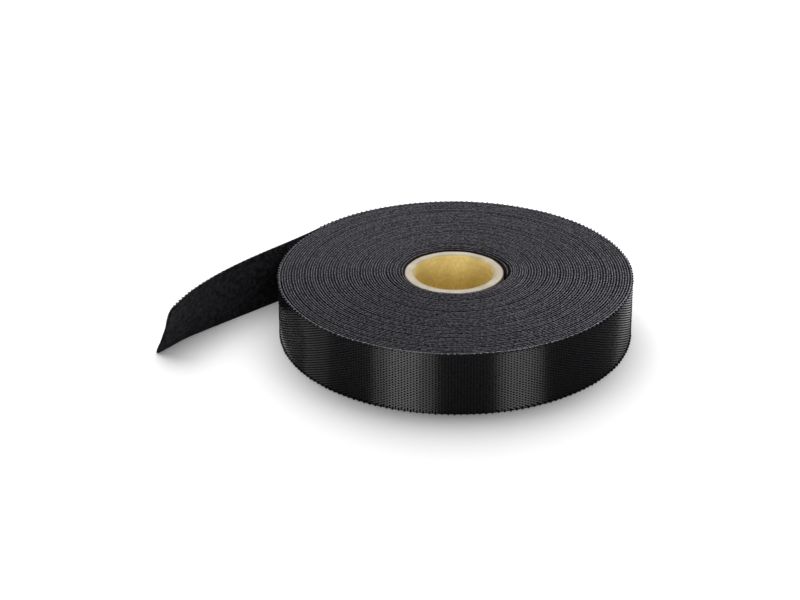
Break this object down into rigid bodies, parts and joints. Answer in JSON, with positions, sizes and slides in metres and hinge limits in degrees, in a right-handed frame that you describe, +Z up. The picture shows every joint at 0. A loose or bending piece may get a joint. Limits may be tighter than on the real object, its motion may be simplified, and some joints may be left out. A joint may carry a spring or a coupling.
{
  "type": "hook and loop tape roll",
  "caption": "Flat roll of back-to-back hook and loop tape, wound hook side out on a paperboard core, with its outer end standing off the roll as a free tail.",
  "frame": {"origin": "middle of the footprint's box, on the surface that the roll lies on", "axes": "+Z up along the core's axis, +X from the free tail's tip towards the roll, +Y away from the side that the picture is taken from"},
  "size_m": [0.1524, 0.1136, 0.02],
  "materials": {
    "hook_plastic": "black moulded hook strip, glossy",
    "loop_fabric": "black napped loop fabric, matt",
    "core_paperboard": "pale cut paperboard",
    "core_kraft": "kraft liner, smooth matt",
    "core_brown_ply": "brown outer ply, matt",
    "tab_adhesive": "double-sided adhesive tab"
  },
  "bodies": {
    "roll": {"core_inner_liner": "core_kraft", "core_board": "core_paperboard", "core_outer_liner": "core_brown_ply", "start_tab": "tab_adhesive", "hook_web": "hook_plastic", "loop_web": "loop_fabric"},
    "tail": {"tail_hook_web": "hook_plastic", "tail_loop_web": "loop_fabric"},
    "tail_tip": {"tail_tip_hook_web": "hook_plastic", "tail_tip_loop_web": "loop_fabric"}
  },
  "joints": [
    {"name": "tail_peel", "type": "hinge", "parent": "roll", "child": "tail", "pos_m": [-0.02569, 0.03478, 0.01], "axis": [0, 0, -1], "range_deg": [-6, 90], "stiffness_Nm_per_rad": 0.008},
    {"name": "tail_flex", "type": "hinge", "parent": "tail", "child": "tail_tip", "pos_m": [-0.0428, 0.01554, 0.01], "axis": [0, 0, -1], "range_deg": [-30, 45], "stiffness_Nm_per_rad": 0.006}
  ]
}
